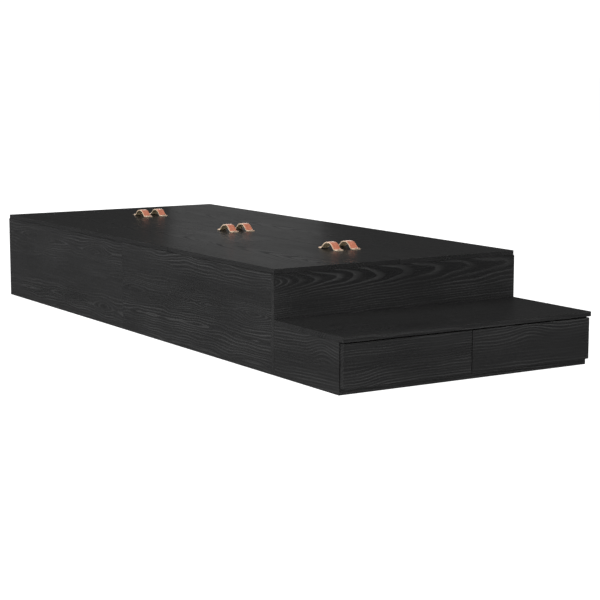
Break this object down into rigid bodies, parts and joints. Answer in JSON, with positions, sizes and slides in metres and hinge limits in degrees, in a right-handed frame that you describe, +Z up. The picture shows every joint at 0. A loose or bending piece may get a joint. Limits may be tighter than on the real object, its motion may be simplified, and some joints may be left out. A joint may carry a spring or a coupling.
{
  "type": "platform bed with storage drawers",
  "caption": "Low platform bed for a single mattress: storage boxes under lift-off lids with leather pull straps, and a step with drawers at the foot end.",
  "frame": {"origin": "on the floor, under the middle of the whole object", "axes": "+Z up; +Y along the bed to the head end, so the step and its drawers face -Y; +X to the sleeper's right when the sleeper lies on their front, which is the right-hand side seen from the foot end"},
  "size_m": [0.9, 2.367, 0.3396],
  "materials": {
    "black_oak": "open-grained black stained oak, satin",
    "light_board": "light wood print on board, matt",
    "runner_steel": "zinc-plated steel",
    "strap_leather": "vegetable-tanned leather, semi-matt"
  },
  "bodies": {
    "frame": {"foot_panel": "black_oak", "head_panel": "black_oak", "side_panel_left_foot": "black_oak", "side_panel_left_head": "black_oak", "side_panel_right_foot": "black_oak", "side_panel_right_head": "black_oak", "side_splice_left": "black_oak", "side_splice_right": "black_oak", "centre_divider_foot": "black_oak", "centre_divider_middle": "black_oak", "centre_divider_head": "black_oak", "cross_partition_foot": "black_oak", "cross_partition_middle": "black_oak", "step_side_left": "black_oak", "step_side_right": "black_oak", "step_back": "black_oak", "step_plinth": "black_oak", "step_divider": "black_oak", "step_top": "black_oak", "bottom_board_foot": "light_board", "bottom_board_middle": "light_board", "bottom_board_head": "light_board", "drawer_left_rail_outboard": "runner_steel", "drawer_left_rail_inboard": "runner_steel", "drawer_right_rail_outboard": "runner_steel", "drawer_right_rail_inboard": "runner_steel"},
    "drawer_left": {"drawer_left_front": "black_oak", "drawer_left_wall_left": "light_board", "drawer_left_wall_right": "light_board", "drawer_left_back": "light_board", "drawer_left_base": "light_board", "drawer_left_slider_outboard": "runner_steel", "drawer_left_slider_inboard": "runner_steel"},
    "drawer_right": {"drawer_right_front": "black_oak", "drawer_right_wall_left": "light_board", "drawer_right_wall_right": "light_board", "drawer_right_back": "light_board", "drawer_right_base": "light_board", "drawer_right_slider_outboard": "runner_steel", "drawer_right_slider_inboard": "runner_steel"},
    "lid_foot_left": {"lid_foot_left": "black_oak", "lid_cleat_foot_left": "black_oak", "strap_foot_left": "strap_leather"},
    "lid_middle_left": {"lid_middle_left": "black_oak", "lid_cleat_middle_left": "black_oak", "strap_middle_left": "strap_leather"},
    "lid_head_left": {"lid_head_left": "black_oak", "lid_cleat_head_left": "black_oak", "strap_head_left": "strap_leather"},
    "lid_foot_right": {"lid_foot_right": "black_oak", "lid_cleat_foot_right": "black_oak", "strap_foot_right": "strap_leather"},
    "lid_middle_right": {"lid_middle_right": "black_oak", "lid_cleat_middle_right": "black_oak", "strap_middle_right": "strap_leather"},
    "lid_head_right": {"lid_head_right": "black_oak", "lid_cleat_head_right": "black_oak", "strap_head_right": "strap_leather"}
  },
  "joints": [
    {"name": "drawer_left_slide", "type": "slide", "parent": "frame", "child": "drawer_left", "axis": [0, -1, 0], "range_m": [0, 0.21]},
    {"name": "drawer_right_slide", "type": "slide", "parent": "frame", "child": "drawer_right", "axis": [0, -1, 0], "range_m": [0, 0.21]},
    {"name": "lid_foot_left_lift", "type": "slide", "parent": "frame", "child": "lid_foot_left", "axis": [0, 0, 1], "range_m": [0, 0.2]},
    {"name": "lid_middle_left_lift", "type": "slide", "parent": "frame", "child": "lid_middle_left", "axis": [0, 0, 1], "range_m": [0, 0.2]},
    {"name": "lid_head_left_lift", "type": "slide", "parent": "frame", "child": "lid_head_left", "axis": [0, 0, 1], "range_m": [0, 0.2]},
    {"name": "lid_foot_right_lift", "type": "slide", "parent": "frame", "child": "lid_foot_right", "axis": [0, 0, 1], "range_m": [0, 0.2]},
    {"name": "lid_middle_right_lift", "type": "slide", "parent": "frame", "child": "lid_middle_right", "axis": [0, 0, 1], "range_m": [0, 0.2]},
    {"name": "lid_head_right_lift", "type": "slide", "parent": "frame", "child": "lid_head_right", "axis": [0, 0, 1], "range_m": [0, 0.2]}
  ]
}
